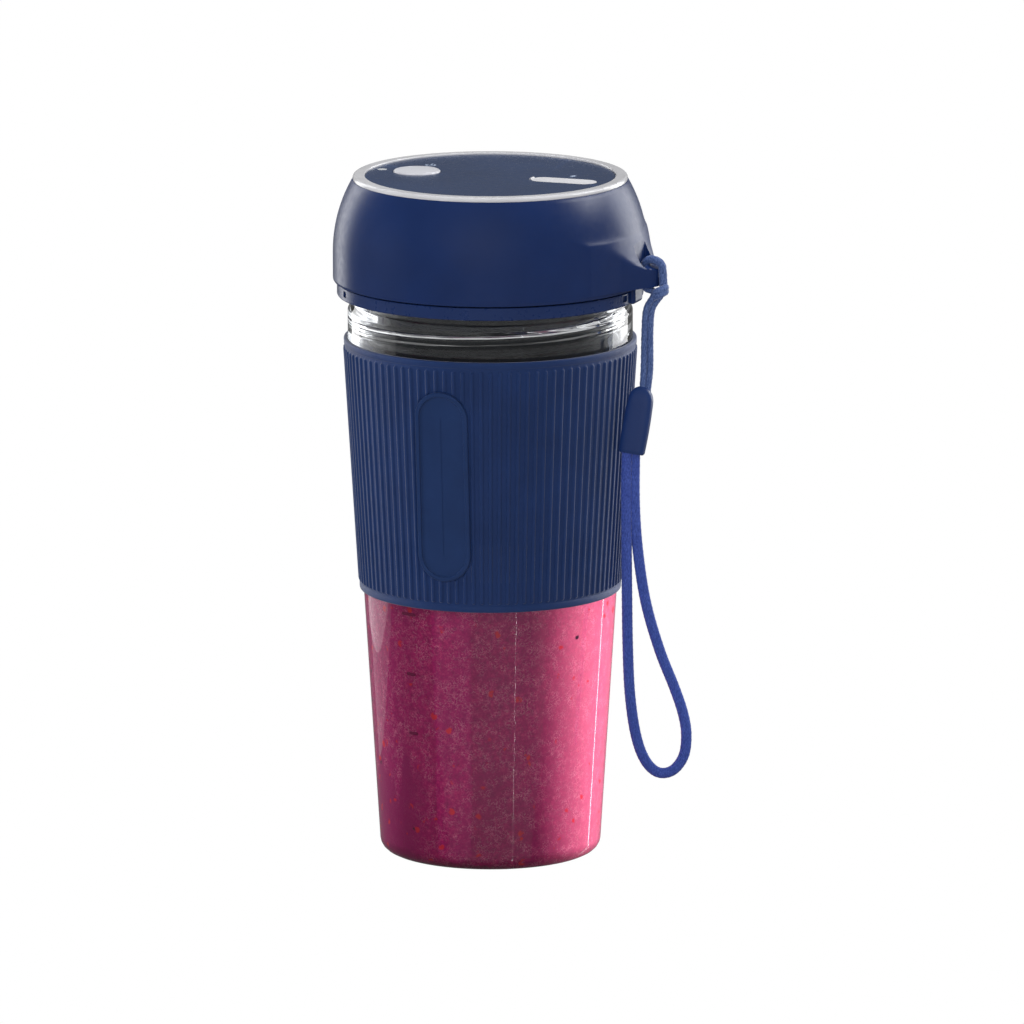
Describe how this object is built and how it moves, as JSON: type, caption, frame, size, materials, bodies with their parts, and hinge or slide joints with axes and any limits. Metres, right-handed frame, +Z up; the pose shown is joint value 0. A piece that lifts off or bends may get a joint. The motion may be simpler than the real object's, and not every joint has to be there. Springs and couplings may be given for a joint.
{
  "type": "countertop blender",
  "caption": "Cordless blender cup: clear tapered cup with ribbed grip sleeve, closed by a round motor unit with hanging blades and a wrist strap.",
  "frame": {"origin": "centre of the cup's flat base, where it stands on the table", "axes": "+Z up along the cup's axis, from the base to the control panel; +X towards the strap lug; -Y towards the plain badge on the sleeve"},
  "size_m": [0.1008, 0.0854, 0.187],
  "materials": {
    "clear_cup": "clear gloss plastic",
    "navy_silicone": "matte silicone",
    "grey_silicone": "matte silicone",
    "navy_shell": "satin moulded plastic",
    "white_trim": "gloss plastic",
    "panel_blue": "gloss plastic",
    "button_white": "satin plastic",
    "cover_white": "matte silicone",
    "light_lens": "frosted lens",
    "dark_plastic": "satin moulded plastic",
    "frame_plastic": "matte moulded plastic",
    "motor_plastic": "matte moulded plastic",
    "stainless": "brushed",
    "plated_steel": "zinc plated",
    "bronze": "sintered bronze",
    "ferrite": "matte ceramic magnet",
    "laminations": "stacked sheet steel",
    "copper": "enamelled wire",
    "carbon": "pressed carbon",
    "lead_wire": "wire insulation",
    "cell_wrap": "shrink film",
    "circuit_board": "solder mask",
    "chip_black": "moulded epoxy",
    "tie_braid": "braided cord",
    "loop_braid": "woven cord"
  },
  "bodies": {
    "cup": {"cup": "clear_cup", "sleeve": "navy_silicone"},
    "seal": {"seal_ring": "grey_silicone"},
    "motor_unit": {"housing": "navy_shell", "collar_ring": "navy_shell", "top_ring": "white_trim", "control_panel": "panel_blue", "led_lens": "light_lens", "base_cover": "dark_plastic", "well_plate": "stainless", "shaft_seal": "grey_silicone", "mount_plate": "plated_steel", "motor_screws": "plated_steel", "motor_can": "plated_steel", "shaft_bush": "bronze", "motor_magnets": "ferrite", "motor_brushes": "carbon", "motor_end_cap": "motor_plastic", "rear_bush": "bronze", "motor_leads": "lead_wire", "chassis": "frame_plastic", "battery_cells": "cell_wrap", "battery_tabs": "plated_steel", "control_board": "circuit_board", "board_parts": "chip_black", "board_screws": "plated_steel", "tact_switch": "chip_black", "status_led": "light_lens", "charge_socket": "plated_steel", "housing_screws": "plated_steel", "tie_cord": "tie_braid", "strap_knot": "tie_braid", "strap_bead": "navy_shell", "hand_loop": "loop_braid"},
    "rotor": {"drive_shaft": "plated_steel", "armature": "laminations", "motor_windings": "copper", "commutator": "copper", "blade_hub": "stainless", "inner_blade": "stainless", "outer_blade": "stainless", "blade_washer": "stainless", "blade_nut": "stainless"},
    "button": {"power_button": "button_white", "switch_stem": "chip_black"},
    "port_flap": {"port_cover": "cover_white"}
  },
  "joints": [
    {"name": "lid_lift", "type": "slide", "parent": "cup", "child": "seal", "axis": [0, 0, 1], "range_m": [0, 0.085]},
    {"name": "lid_turn", "type": "hinge", "parent": "seal", "child": "motor_unit", "pos_m": [0, 0, 0.157], "axis": [0, 0, 1], "range_deg": [0, 120]},
    {"name": "blade_spin", "type": "hinge", "parent": "motor_unit", "child": "rotor", "pos_m": [0, 0, 0.15], "axis": [0, 0, 1], "continuous": true},
    {"name": "button_press", "type": "slide", "parent": "motor_unit", "child": "button", "axis": [0, 0, -1], "range_m": [0, 0.0006], "stiffness_N_per_m": 1500, "springref_m": -0.0004},
    {"name": "port_open", "type": "hinge", "parent": "motor_unit", "child": "port_flap", "pos_m": [0.012, 0, 0.1865], "axis": [0, -1, 0], "range_deg": [0, 110]}
  ]
}
